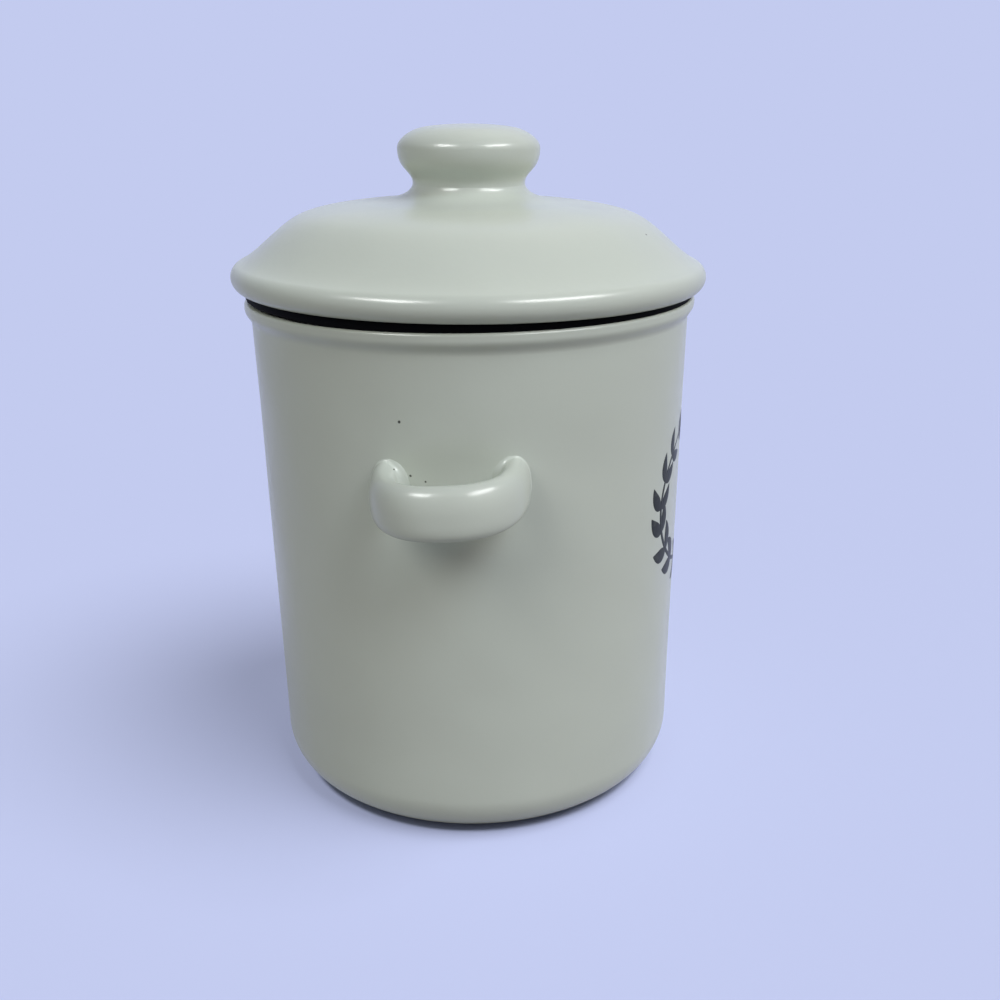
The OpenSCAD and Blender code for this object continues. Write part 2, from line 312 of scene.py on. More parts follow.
@dataclass(frozen=True)
class Signal:
    """A number that varies over a surface: one socket, with arithmetic that adds Math nodes."""

    kit: "ShaderKit"
    socket: bpy.types.NodeSocket

    def _math(self, operation: str, a: "Signal | float", b: "Signal | float") -> "Signal":
        """One Math node on two values, in the order given."""
        return self.kit.signal("ShaderNodeMath", {"operation": operation}, {0: a, 1: b})

    def __add__(self, other: "Signal | float") -> "Signal":
        """The sum of two values."""
        return self._math("ADD", self, other)

    __radd__ = __add__

    def __sub__(self, other: "Signal | float") -> "Signal":
        """This value less another."""
        return self._math("SUBTRACT", self, other)

    def __rsub__(self, other: float) -> "Signal":
        """Another value less this one."""
        return self._math("SUBTRACT", other, self)

    def __mul__(self, other: "Signal | float") -> "Signal":
        """The product of two values."""
        return self._math("MULTIPLY", self, other)

    __rmul__ = __mul__

    def __pow__(self, exponent: float) -> "Signal":
        """This value to a power."""
        return self._math("POWER", self, exponent)

    def _step(self, edge: float, blur: float, under: float, past: float) -> "Signal":
        """One value under an edge and another past it, with a smooth step as wide as blur."""
        sockets = {"Value": self, "From Min": edge - blur / 2, "From Max": edge + blur / 2,
                   "To Min": under, "To Max": past}
        return self.kit.signal("ShaderNodeMapRange", {"interpolation_type": "SMOOTHSTEP"}, sockets)

    def above(self, edge: float, blur: float) -> "Signal":
        """0 where this value is under an edge and 1 past it."""
        return self._step(edge, blur, 0.0, 1.0)

    def below(self, edge: float, blur: float) -> "Signal":
        """1 where this value is under an edge and 0 past it."""
        return self._step(edge, blur, 1.0, 0.0)


class ShaderKit:
    """Builds the nodes of one material or of the world."""

    def __init__(self, owner: bpy.types.Material | bpy.types.World) -> None:
        """Empties the owner's node tree."""
        owner.use_nodes = True
        self.owner = owner
        self.tree = owner.node_tree
        self.tree.nodes.clear()

    @classmethod
    def material(cls, name: str) -> "ShaderKit":
        """A kit for a new material of that name."""
        return cls(bpy.data.materials.new(name))

    def node(self, kind: str, settings: Mapping[str, object],
             sockets: Mapping[str | int, object]) -> bpy.types.Node:
        """Adds a node, sets its settings and then its sockets.

        Args:
            kind: The node's type.
            settings: Its properties, such as a Math node's operation.
            sockets: Values, signals, sockets or nodes by the input's name or number; a node stands
                for its first output.

        Returns:
            The new node.
        """
        new = self.tree.nodes.new(kind)
        for key, value in settings.items():
            setattr(new, key, value)
        for key, value in sockets.items():
            if isinstance(value, Signal):
                value = value.socket
            elif isinstance(value, bpy.types.Node):
                value = value.outputs[0]
            if isinstance(value, bpy.types.NodeSocket):
                self.tree.links.new(value, new.inputs[key])
            else:
                new.inputs[key].default_value = value
        return new

    def signal(self, kind: str, settings: Mapping[str, object], sockets: Mapping[str | int, object],
               output: str | int = 0) -> Signal:
        """Adds a node as node does and returns one of its outputs as a signal."""
        return Signal(self, self.node(kind, settings, sockets).outputs[output])

    def place(self) -> bpy.types.NodeSocket:
        """The point on the piece, in object coordinates."""
        return self.node("ShaderNodeTexCoord", {}, {}).outputs["Object"]

    def noise(self, scale: float, detail: float, at: bpy.types.NodeSocket) -> Signal:
        """Soft noise from 0 to 1 with about that many blotches to a metre."""
        sockets = {"Vector": at, "Scale": scale, "Detail": detail}
        return self.signal("ShaderNodeTexNoise", {}, sockets, "Fac")

    def blend(self, factor: Signal, a: object, b: object) -> bpy.types.NodeSocket:
        """Colour a where the factor is 0 and b where it is 1, by a Mix node's colour sockets."""
        return self.node("ShaderNodeMix", {"data_type": "RGBA"}, {0: factor, 6: a, 7: b}).outputs[2]

    def bump(self, height: Signal, depth: float, **under: bpy.types.NodeSocket) -> bpy.types.NodeSocket:
        """A normal raised by a height from 0 to 1, times a depth in metres, over another Normal."""
        sockets = {"Height": height, "Distance": depth, "Strength": 1.0, **under}
        return self.node("ShaderNodeBump", {}, sockets).outputs["Normal"]

    def finish(self, sockets: Mapping[str, object]) -> bpy.types.Material:
        """Closes the tree with a Principled shader that has those sockets set."""
        shader = self.node("ShaderNodeBsdfPrincipled", {}, sockets)
        self.node("ShaderNodeOutputMaterial", {}, {"Surface": shader})
        return self.owner


def paint(*levels: int) -> Colour:
    """A colour given as it looks on screen, 0 to 255 each, turned from the sRGB curve into light."""
    c = np.array(levels) / 255
    return (*np.where(c <= 0.04045, c / 12.92, ((c + 0.055) / 1.055) ** 2.4).tolist(), 1.0)


@dataclass(frozen=True)
class GlazeFinish:
    """A glossy white glaze with a grey-green cast, clouded, with pinholes and a few iron specks."""

    name: str = "white_glaze"
    bare_below: float = -1.0
    thin: Colour = paint(206, 211, 201)
    pooled: Colour = paint(200, 207, 197)
    biscuit: Colour = paint(186, 176, 160)
    speck: Colour = paint(58, 58, 52)
    refraction: float = 1.32
    gloss: float = 0.2
    bare_rough: float = 0.55
    wave_depth: float = 1.2 * MM
    peel_depth: float = 0.03 * MM
    speck_blur: float = 0.16 * MM
    foot_blur: float = 0.3 * MM
    iron: tuple[tuple[float, float, float, float], ...] = (
        (-0.05525, 0.01129, 0.11109, 0.00034),
        (-0.05545, 0.00911, 0.09848, 0.00028),
        (-0.0559, 0.00565, 0.09725, 0.00026),
        (-0.05602, 0.0127, 0.10021, 0.00022),
        (-0.01774, -0.04462, 0.1482, 0.00026),
        (0.0309, 0.0462, 0.048, 0.0003),
    )

    def build(self) -> bpy.types.Material:
        """Mixes two tints by clouds, and adds faint pinholes, iron specks and the bare foot ring.

        Returns:
            The glaze. Each iron speck is a ragged dot about a place, of the radius in its last number.
        """
        kit = ShaderKit.material(self.name)
        where = kit.place()
        clouds = kit.noise(16.0, 3.0, where)
        mottle = kit.noise(240.0, 2.0, where)
        tint = kit.blend(clouds * 0.8 + mottle * 0.2, self.thin, self.pooled)
        cells = kit.node("ShaderNodeTexVoronoi", {}, {"Vector": where, "Scale": 58.0})
        chosen = kit.signal("ShaderNodeSeparateColor", {}, {"Color": cells.outputs["Color"]})
        pinholes = Signal(kit, cells.outputs["Distance"]).below(0.012, 0.008)
        specks = chosen.above(0.86, 0.02) * pinholes * 0.45
        ragged = kit.noise(1800.0, 2.0, where) * 0.0003 - 0.00015
        for *spot, size in self.iron:
            away = kit.signal("ShaderNodeVectorMath", {"operation": "DISTANCE"}, {0: where, 1: spot}, "Value")
            specks = specks + (away + ragged).below(size, self.speck_blur) * 0.9
        tint = kit.blend(specks, tint, self.speck)
        height = kit.signal("ShaderNodeSeparateXYZ", {}, {"Vector": where}, "Z")
        bare = (height + (mottle - 0.5) * 0.0006).below(self.bare_below, self.foot_blur)
        waves = kit.bump(kit.noise(34.0, 1.0, where), self.wave_depth)
        return kit.finish({
            "Base Color": kit.blend(bare, tint, self.biscuit),
            "Roughness": self.gloss + clouds * 0.05 + mottle * 0.04 + bare * self.bare_rough,
            "Normal": kit.bump(kit.noise(520.0, 2.0, where), self.peel_depth, Normal=waves),
            "IOR": self.refraction,
        })


@dataclass(frozen=True)
class SiliconeFinish:
    """Black moulded silicone, satin, with a fine grain and a little dust, its black deepened past the
    rubber's own as painted shade of the recess it sits in.
    """

    name: str = "black_silicone"
    # Black silicone, made darker than the rubber itself: painted shade of the recess between the lip and the
    # lid.
    body: Colour = paint(7, 7, 7)
    dust: Colour = paint(30, 30, 30)
    rough: float = 0.55
    grain_depth: float = 0.02 * MM
    sheen: float = 0.03

    def build(self) -> bpy.types.Material:
        """Lets dust cling where a fine noise is high, and roughens the skin by a finer one.

        Returns:
            The silicone.
        """
        kit = ShaderKit.material(self.name)
        where = kit.place()
        lint = kit.noise(900.0, 4.0, where).above(0.66, 0.1)
        grain = kit.noise(2600.0, 2.0, where)
        return kit.finish({
            "Base Color": kit.blend(lint * 0.35, self.body, self.dust),
            "Roughness": self.rough + grain * 0.16,
            "Normal": kit.bump(grain, self.grain_depth),
            "Specular IOR Level": self.sheen,
        })


@dataclass(frozen=True)
class SteelFinish:
    """Stainless steel, either spun sheet with fine rings or drawn wire with fine lengthwise lines."""

    name: str
    tint: Colour
    rough: float
    line_depth: float
    dark_share: float = 0.52

    def build(self) -> bpy.types.Material:
        """Makes tool lines as noise on the distance from the axis and the height, so they run in rings.

        Returns:
            The steel, with darker bands, fine lines and a few smudges.
        """
        kit = ShaderKit.material(self.name)
        where = kit.place()
        parts = kit.node("ShaderNodeSeparateXYZ", {}, {"Vector": where})
        x, y, z = (Signal(kit, parts.outputs[i]) for i in range(3))
        radius = (x * x + y * y) ** 0.5
        ringed = kit.node("ShaderNodeCombineXYZ", {}, {"X": radius, "Y": z}).outputs[0]
        lines = kit.noise(3400.0, 2.0, ringed)
        bands = kit.noise(420.0, 3.0, ringed)
        smudge = kit.noise(70.0, 3.0, where)
        dark = (*(self.dark_share * c for c in self.tint[:3]), 1.0)
        return kit.finish({
            "Base Color": kit.blend(bands * 0.7 + lines * 0.3, self.tint, dark),
            "Metallic": 1.0,
            "Roughness": self.rough + lines * 0.14 + smudge * 0.08,
            "Normal": kit.bump(lines, self.line_depth),
        })


@dataclass(frozen=True)
class DecorFinish:
    """Dark grey fired-on colour, slightly duller than the glaze under it, with worn brush edges."""

    name: str = "charcoal_decor"
    ink: Colour = paint(46, 49, 47)
    thin_ink: Colour = paint(78, 81, 79)
    rough: float = 0.3
    grain_depth: float = 0.02 * MM
    sheen: float = 0.08

    def build(self) -> bpy.types.Material:
        """Thins the colour in small blotches, as a brush leaves it.

        Returns:
            The decor.
        """
        kit = ShaderKit.material(self.name)
        where = kit.place()
        worn = kit.noise(420.0, 4.0, where).above(0.6, 0.2)
        return kit.finish({
            "Base Color": kit.blend(worn * 0.7, self.ink, self.thin_ink),
            "Roughness": self.rough + worn * 0.15,
            "Normal": kit.bump(kit.noise(700.0, 2.0, where), self.grain_depth),
            "Specular IOR Level": self.sheen,
        })


# ------------------------------------------------------------------ pieces


def settle(piece: bpy.types.Object, body: str, slot: str = "", *nodes: str) -> None:
    """Lets a piece ride on its body and stand for its nodes, and reports it.

    Args:
        piece: The finished piece.
        body: The body that carries it.
        slot: Not used.
        nodes: The nodes that it stands for, none for a piece that only adds to them.
    """
    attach(piece, body)
    if nodes:
        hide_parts(*nodes)
    log.info("%s: %d faces on %s", piece.name, len(piece.data.polygons), body)


@dataclass
class Crock:
    """The jar: a tapered wall on a foot ring, with a lip, a cove under it and a ledge in its mouth."""

    lip_overhang: float = 1.6 * MM
    lip_edge_h: float = 1.6 * MM
    lip_cove_h: float = 3.8 * MM
    lip_round: float = 0.8 * MM
    wall_t: float = 6.3 * MM
    wall_draft: float = 1.8 * MM
    heel_r: float = 12.2 * MM
    floor_t: float = 6.0 * MM
    inner_heel_r: float = 9.0 * MM
    foot_w: float = 5.0 * MM
    foot_recess: float = 1.2 * MM
    ledge_depth: float = 11.0 * MM
    ledge_w: float = 2.3 * MM
    ledge_round: float = 0.4 * MM
    wave: float = 0.03 * MM
    wave_fade: float = 20.0 * MM
    lip_r: float = field(init=False)
    height: float = field(init=False)

    def __post_init__(self) -> None:
        """Takes the lip's radius and height from the frame."""
        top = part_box("crock")[1]
        self.lip_r, self.height = top.x, top.z

    @property
    def wall_top_r(self) -> float:
        """Radius of the wall under the lip's cove."""
        return self.lip_r - self.lip_overhang

    @property
    def wall_top_z(self) -> float:
        """Height at which the wall runs into the cove."""
        return self.height - self.lip_edge_h - self.lip_cove_h

    @property
    def ledge_z(self) -> float:
        """Height of the ledge that carries the strainer."""
        return self.height - self.ledge_depth

    @property
    def below_ledge_r(self) -> float:
        """Inner radius just below the ledge."""
        return float(self.wall_r(self.ledge_z)) - self.wall_t

    @property
    def bore_r(self) -> float:
        """Inner radius of the mouth above the ledge."""
        return self.below_ledge_r + self.ledge_w

    def wall_r(self, z: np.ndarray | float) -> np.ndarray | float:
        """Outer radius of the wall at a height, between the heel and the cove."""
        share = (z - self.heel_r) / (self.wall_top_z - self.heel_r)
        return self.wall_top_r - self.wall_draft * (1 - share)

    def outline(self) -> np.ndarray:
        """Draws from the middle of the foot's recess round the outside and the lip to the inner floor.

        Returns:
            The section's points.
        """
        foot_r = self.wall_top_r - self.wall_draft - self.heel_r
        recess, recess_r = self.foot_recess, foot_r - self.foot_w
        cove_z, round_z = self.height - self.lip_edge_h, self.height - self.lip_round
        floor_z = recess + self.floor_t
        bend_z = floor_z + self.inner_heel_r
        inner_r = float(self.wall_r(bend_z)) - self.wall_t
        ledge, ledge_r = self.ledge_round, self.below_ledge_r + self.ledge_round
        return (
            Outline(0, recess)
            .line(recess_r - recess, recess, 10)
            .curve((recess_r - 0.4 * recess, recess), (recess_r - 0.2 * recess, 0),
                   (recess_r + 0.3 * recess, 0), 8)
            .line(foot_r, 0, 6)
            .arc(foot_r, self.heel_r, self.heel_r, -90, 0, 30)
            .line(self.wall_top_r, self.wall_top_z, 40)
            .curve((self.wall_top_r + 0.1 * self.lip_overhang, self.wall_top_z + 0.45 * self.lip_cove_h),
                   (self.lip_r, cove_z - 0.4 * self.lip_cove_h), (self.lip_r, cove_z), 20)
            .arc(self.lip_r - self.lip_round, round_z, self.lip_round, 0, 90, 8)
            .arc(self.bore_r + self.lip_round, round_z, self.lip_round, 90, 180, 8)
            .line(self.bore_r, self.ledge_z + ledge, 8)
            .line(self.bore_r, self.ledge_z)
            .line(ledge_r, self.ledge_z, 3)
            .arc(ledge_r, self.ledge_z - ledge, ledge, 90, 180, 4)
            .line(inner_r, bend_z, 30)
            .arc(inner_r - self.inner_heel_r, bend_z, self.inner_heel_r, 0, -90, 16)
            .line(0, floor_z, 10)
            .points
        )

    def unevenness(self, angle: np.ndarray, z: np.ndarray) -> np.ndarray:
        """Slight waves of a cast wall.

        Args:
            angle: Angles round the axis.
            z: Heights.

        Returns:
            Extra radius, up to six times the wave inwards, fading out at the foot and the lip: the
            sum of sin(2 a + 0.7), sin(3 a + 55 z) and sin(90 z + 1.1), less 3.
        """
        fade = np.clip(z / self.wave_fade, 0, 1) * np.clip((self.wall_top_z - z) / self.wave_fade, 0, 1)
        wave = np.sin(2 * angle + 0.7) + np.sin(3 * angle + 55 * z) + np.sin(90 * z + 1.1)
        return self.wave * fade * (wave - 3)

    def build(self, glaze: bpy.types.Material) -> None:
        """Makes the jar as one closed turned surface."""
        patch = revolve(self.outline(), 256, End.POLE, End.POLE, self.unevenness)
        settle(make_piece("crock_shell", [patch], glaze), "crock_body", "glaze", "crock")


@dataclass
class LugHandles:
    """Two straps bent into a D seen from above and luted to the wall."""

    crock: Crock
    drop: float = 36.0 * MM
    width: float = 38.4 * MM
    reach: float = 20.2 * MM
    strap_t: float = 6.8 * MM
    strap_h: float = 12.5 * MM
    strap_lift: float = 1.4 * MM
    root_loss: float = 1.6 * MM
    root_depth: float = 3.0 * MM
    fillet: float = 0.6 * MM
    inner_fillet: float = 2.6 * MM
    squareness: float = 2.43
    section_squareness: float = 2.05
    under_squareness: float = 3.2
    under_share: float = 0.96
    overhang: float = 0.15 * MM
    lean: float = 2.4
    pinch: float = 1.2 * MM
    sunk_share: float = 0.985

    def surface(self, side: int) -> Patch:
        """One strap: strands along a superellipse, set out round a superellipse's section.

        Args:
            side: 1 for the right handle, -1 for the left one.

        Returns:
            The closed surface. Each strand starts and ends where it meets the wall, and is pushed out
            by r - sqrt(r^2 - (r - d)^2) at a distance d from the wall, so that the clay flows into the
            wall. The radius r grows from the outside of the strap to the inside of the finger gap.
        """
        middle_z = self.crock.height - self.drop
        wall_r = float(self.crock.wall_r(middle_z))
        half_w = (self.width - self.strap_t) / 2
        root_x = math.sqrt(wall_r**2 - half_w**2) - self.root_depth
        depth = wall_r + self.reach - self.strap_t / 2 - root_x
        a = circle(64)
        below = np.sin(a) < 0
        section = np.where(below, self.under_squareness, self.section_squareness)
        cross = signed_power(np.cos(a), 2 / section)[None, :]
        rise = (np.where(below, self.under_share, 1.0) * signed_power(np.sin(a), 2 / section))[None, :]
        power = 2 - 2 / self.squareness

        def strands(t: np.ndarray, extra: np.ndarray | float) -> np.ndarray:
            """Sets out all strands of the level strap.

            Args:
                t: Angles of the D, 0 at the front root and pi at the rear one.
                extra: How much thicker than its section the strap is.

            Returns:
                The middle line plus the section times its half sizes, square to the D's edge.
            """
            x = root_x + depth * signed_power(np.sin(t), 2 / self.squareness)
            y = half_w * signed_power(np.cos(t), 2 / self.squareness)
            y = y * (1 - self.pinch / half_w * (1 - (x - root_x) / depth) ** 2)
            nx, ny = signed_power(np.sin(t), power) / depth, signed_power(np.cos(t), power) / half_w
            size = np.hypot(nx, ny)
            share = np.clip((x - root_x) / depth, 0, 1)
            half_t = self.strap_t / 2 + extra
            half_h = (self.strap_h - self.root_loss * (1 - share)) / 2 + extra
            lift = self.strap_lift * (1 - share) ** 2
            out = cross * half_t - self.overhang * share * rise * (0.5 + 0.5 * cross)
            return np.stack([x + nx / size * out, y + ny / size * out, lift + rise * half_h], axis=-1)

        def gap(points: np.ndarray) -> np.ndarray:
            """Distance of points outside the wall, negative inside it."""
            return np.hypot(points[..., 0], points[..., 1]) - self.crock.wall_r(middle_z + points[..., 2])

        fine = np.repeat(np.linspace(0.001, np.pi - 0.001, 1500)[:, None], len(a), axis=1)
        outside = gap(strands(fine, 0.0)) > 0
        start = fine[outside.argmax(axis=0), 0]
        stop = fine[len(fine) - 1 - outside[::-1].argmax(axis=0), 0]
        t = start + (stop - start) * 0.5 * (1 - np.cos(np.linspace(0, np.pi, 161)))[:, None]
        extra = np.zeros_like(t)
        radius = self.fillet + (self.inner_fillet - self.fillet) * np.clip(-np.cos(a), 0, 1) ** 2
        for _ in range(8):
            d = np.clip(gap(strands(t, extra)), 0, radius)
            extra = 0.5 * extra + 0.5 * (radius - np.sqrt(radius**2 - (radius - d) ** 2))
        points = strands(t, extra)
        sunk = points[[0, -1]] * (self.sunk_share, self.sunk_share, 1.0)
        points = np.concatenate([sunk[:1], points, sunk[1:]])
        turn = side * math.radians(self.lean)
        y, z = side * points[..., 1], points[..., 2]
        y, z = y * math.cos(turn) - z * math.sin(turn), z * math.cos(turn) + y * math.sin(turn)
        return Patch(np.stack([side * points[..., 0], y, middle_z + z], axis=-1), End.CAP, End.CAP)

    def build(self, glaze: bpy.types.Material) -> None:
        """Makes both handles.

        Args:
            glaze: Their finish.
        """
        for side, name in ((-1, "left"), (1, "right")):
            piece = make_piece(f"{name}_lug", [self.surface(side)], glaze)
            settle(piece, "crock_body", "glaze", f"{name}_handle")


@dataclass
class Wreath:
    """Two leafy twigs fired onto the front of the wall."""

    crock: Crock
    middle_z: float = 79.5 * MM
    half_w: float = 26.0 * MM
    half_h: float = 19.5 * MM
    leaf_l: float = 9.6 * MM
    leaf_w: float = 4.3 * MM
    stem_w: float = 1.3 * MM
    pairs: int = 8
    relief: float = 0.05 * MM
    sunk: float = 0.2 * MM

    def onto_wall(self, flat: np.ndarray) -> np.ndarray:
        """Wraps a flat drawing round the front of the crock.

        Args:
            flat: Points across, up and off the wall.

        Returns:
            The same points at the wall's radius plus their distance off it.
        """
        z = self.middle_z + flat[..., 1]
        angle = flat[..., 0] / self.crock.wall_top_r - np.pi / 2
        return turned(self.crock.wall_r(z) + self.crock.unevenness(angle, z) + flat[..., 2], angle, z)

    def stroke(self, path: np.ndarray, half_width: np.ndarray) -> Patch:
        """A brush stroke along a flat path, a low ridge above the glaze and sunk below it.

        Args:
            path: Points across and up, along the middle of the stroke.
            half_width: Half the stroke's width at each point, 0 at both tips.

        Returns:
            The closed stroke on the wall.
        """
        across = tangents(path)[:, ::-1] * (-1, 1)
        a = circle(12)
        side = np.cos(a)[None, :, None] * half_width[:, None, None] * across[:, None, :]
        tall = np.where(np.sin(a) > 0, self.relief, self.sunk) * np.sin(a)
        level = tall[None, :] * (half_width / half_width.max())[:, None] ** 0.3
        flat = np.concatenate([path[:, None, :] + side, level[..., None]], axis=-1)
        return Patch(self.onto_wall(flat), End.POLE, End.POLE)

    def leaf(self, root: np.ndarray, heading: float, size: float, bend: float) -> Patch:
        """A pointed leaf, widest below its middle, that curls to one side.

        Args:
            root: Where it leaves the twig, across and up.
            heading: Its direction as an angle from level.
            size: Its share of a full leaf's length and width.
            bend: How far it curls, as a share of its length.

        Returns:
            The leaf as one stroke, with a half width of sin(pi s^0.8)^0.85 at a share s of its length.
        """
        s = np.linspace(0, 1, 22)
        ahead = np.array([math.cos(heading), math.sin(heading)])
        aside = np.array([-ahead[1], ahead[0]])
        path = root + size * self.leaf_l * (s[:, None] * ahead + bend * np.sin(np.pi * s)[:, None] * aside)
        width = np.clip(np.sin(np.pi * s**0.8), 0, 1) ** 0.85
        return self.stroke(path, 0.5 * size * self.leaf_w * width)

    def twig(self, side: int) -> list[Patch]:
        """A stem along half an oval with pairs of leaves and a leaf at its tip.

        Args:
            side: 1 for the right twig, -1 for the left one.

        Returns:
            All its strokes. Leaves get smaller towards the tip and open by 40 and 28 degrees in turn.
        """
        def at(turn: np.ndarray) -> np.ndarray:
            """Points of the oval, 0 at the bottom and pi at the top."""
            return np.stack([side * self.half_w * np.sin(turn), -self.half_h * np.cos(turn)], axis=-1)

        turn = np.linspace(-0.09, 0.87, 60) * np.pi
        taper = np.clip(np.sin(np.pi * np.linspace(0, 1, 60)), 0, 1) ** 0.25
        strokes = [self.stroke(at(turn), 0.5 * self.stem_w * taper)]
        for i in range(self.pairs):
            place = (0.07 + 0.78 * i / (self.pairs - 1)) * np.pi
            root = at(np.array(place))
            step = at(np.array(place + 0.01)) - root
            size = 1.0 - 0.035 * i - 0.12 * (i == 0)
            for out in (1, -1):
                angle = math.atan2(step[1], step[0]) + out * math.radians(40 - 12 * (i % 2))
                strokes.append(self.leaf(root, angle, size * (0.95 if out == side else 1.0), 0.1 * out))
        before, tip = at(turn[-2:])
        last = tip - before
        strokes.append(self.leaf(tip, math.atan2(last[1], last[0]), 0.75, 0.08 * side))
        return strokes

    def build(self, decor: bpy.types.Material) -> None:
        """Makes both twigs as one piece."""
        settle(make_piece("front_wreath", self.twig(-1) + self.twig(1), decor), "crock_body")


@dataclass
class Lid:
    """Domed lid with a bead round its edge, a skirt below, a collar and a hollow knob."""

    crock: Crock
    bead_r: float = 3.5 * MM
    bead_end: float = 65.0
    crown_rise: float = 21.1 * MM
    shoulder_r: float = 44.5 * MM
    shoulder_drop: float = 3.6 * MM
    shoulder_slope: float = 28.7
    shell_t: float = 5.0 * MM
    collar_h: float = 4.4 * MM
    neck_r: float = 14.35 * MM
    bore_r: float = 7.5 * MM
    bore_round: float = 0.8 * MM
    skirt_t: float = 3.2 * MM
    skirt_h: float = 10.0 * MM
    fin_gap: float = 0.3 * MM
    fin_reach: float = 1.0 * MM
    sleeve_t: float = 1.3 * MM
    lock_r: float = 0.7 * MM
    seal_t: float = 2.0 * MM
    tilt: float = 0.75
    tilt_drop: float = 0.06 * MM
    shift: float = 0.15 * MM
    play: float = 0.15 * MM
    knob_play: float = 0.01 * MM

    @property
    def skirt_r(self) -> float:
        """Outer radius of the skirt, which leaves room for the seal's sleeve and fins."""
        return self.crock.bore_r - self.fin_gap - self.fin_reach - self.sleeve_t

    @property
    def under_z(self) -> float:
        """Height of the lid's flat underside."""
        return self.crock.height + self.seal_t

    @property
    def crown_z(self) -> float:
        """Height of the crown, where the collar starts to rise."""
        return self.under_z + self.crown_rise

    @property
    def collar_z(self) -> float:
        """Height of the joint between the collar and the knob."""
        return self.crown_z + self.collar_h

    @property
    def lock_z(self) -> float:
        """Height of the groove in the skirt that holds the seal."""
        return self.crock.height - (self.skirt_h - self.seal_t) / 2

    def outline(self) -> np.ndarray:
        """Draws the lid's section: bead, slope, shoulder, crown, collar, hole, inner dome, skirt.

        Returns:
            The section's points, back to where the bead starts.
        """
        bead_x, bead_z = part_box("lid")[1].x - self.play - self.bead_r, self.under_z + self.bead_r
        turn, slope = math.radians(self.bead_end), math.radians(self.shoulder_slope)
        run_out = np.array([bead_x + self.bead_r * math.cos(turn), bead_z + self.bead_r * math.sin(turn)])
        shoulder = np.array([self.shoulder_r, self.crown_z - self.shoulder_drop])
        crown = np.array([2 * self.neck_r, self.crown_z])
        collar = np.array([self.neck_r, self.collar_z])
        span, climb = run_out[0] - shoulder[0], shoulder[1] - run_out[1]
        uphill = np.array([-math.cos(slope), math.sin(slope)])
        inner_z = self.crown_z - self.shell_t
        dome = inner_z - self.under_z
        edge, tip = self.bore_round, self.skirt_t / 2
        skirt_in, tip_z = self.skirt_r - self.skirt_t, self.under_z - self.skirt_h + tip
        return (
            Outline(bead_x, self.under_z)
            .arc(bead_x, bead_z, self.bead_r, -90, self.bead_end, 40)
            .curve(run_out + (-0.34 * span, 0.22 * climb), shoulder - 6.1 * MM * uphill, shoulder, 40)
            .curve(shoulder + 4.8 * MM * uphill, crown + (4.8 * MM, -0.17 * self.shoulder_drop), crown, 30)
            .curve(crown + (-0.35 * self.neck_r, 0.12 * self.collar_h),
                   collar + (0.07 * self.neck_r, -0.85 * self.collar_h), collar, 24)
            .line(self.bore_r, self.collar_z, 4)
            .line(self.bore_r, inner_z + edge, 4)
            .arc(self.bore_r + edge, inner_z + edge, edge, 180, 270, 5)
            .line(self.shoulder_r - 19 * MM, inner_z, 10)
            .curve((self.shoulder_r - 7 * MM, inner_z), (skirt_in, inner_z - 0.35 * dome),
                   (skirt_in, self.under_z + 0.35 * dome), 24)
            .line(skirt_in, tip_z, 10)
            .arc(skirt_in + tip, tip_z, tip, 180, 360, 14)
            .arc(self.skirt_r, self.lock_z, self.lock_r, 270, 90, 10)
            .line(self.skirt_r, self.under_z, 4)
            .line(bead_x, self.under_z, 6)
            .points
        )

    def knob_outline(self) -> np.ndarray:
        """Draws the knob's section: top, belly, neck, across the joint and up into its hollow.

        Returns:
            The section's points, from axis to axis.
        """
        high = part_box("lid_knob")[1]
        knob_r, top = high.x, high.z - self.knob_play
        tall = top - self.collar_z
        foot = np.array([self.neck_r, self.collar_z])
        belly = np.array([knob_r, self.collar_z + 0.6 * tall])
        brow = np.array([0.67 * knob_r, top - 0.065 * tall])
        hollow_z = self.collar_z + 0.5 * tall - self.bore_r / 2
        return (
            Outline(0, top)
            .curve((0.25 * knob_r, top), brow + (-0.14 * knob_r, 0.04 * tall), brow, 20)
            .curve(brow + (0.15 * knob_r, -0.045 * tall), belly + (0, 0.15 * tall), belly, 26)
            .curve(belly + (0, -0.38 * tall), foot + (-0.02 * self.neck_r, 0.23 * tall), foot, 30)
            .line(self.bore_r, self.collar_z, 4)
            .line(self.bore_r * math.cos(math.pi / 6), hollow_z + self.bore_r / 2, 6)
            .arc(0, hollow_z, self.bore_r, 30, 90, 12)
            .points
        )

    def leaned(self, patch: Patch) -> Patch:
        """Tips a patch by the lid's tilt about the middle of the seal, high towards the rear.

        Args:
            patch: A surface of the level lid.

        Returns:
            The surface as it stands in the photograph, where the seal is squeezed more on one side.
        """
        pivot = np.array([0, 0, self.under_z - self.tilt_drop])
        turn = np.array(Matrix.Rotation(math.radians(self.tilt), 3, "X"))
        points = (patch.points - pivot) @ turn.T + pivot + (0, self.shift, 0)
        return Patch(points, patch.first, patch.last)

    def build(self, glaze: bpy.types.Material) -> None:
        """Makes the lid's shell and its knob.

        Args:
            glaze: Their finish.
        """
        shell = self.leaned(revolve(self.outline(), 256))
        settle(make_piece("lid_shell", [shell], glaze), "lid_body", "glaze", "lid")
        knob = self.leaned(revolve(self.knob_outline(), 192, End.POLE, End.POLE))
        settle(make_piece("knob", [knob], glaze), "lid_body", "glaze", "lid_knob")


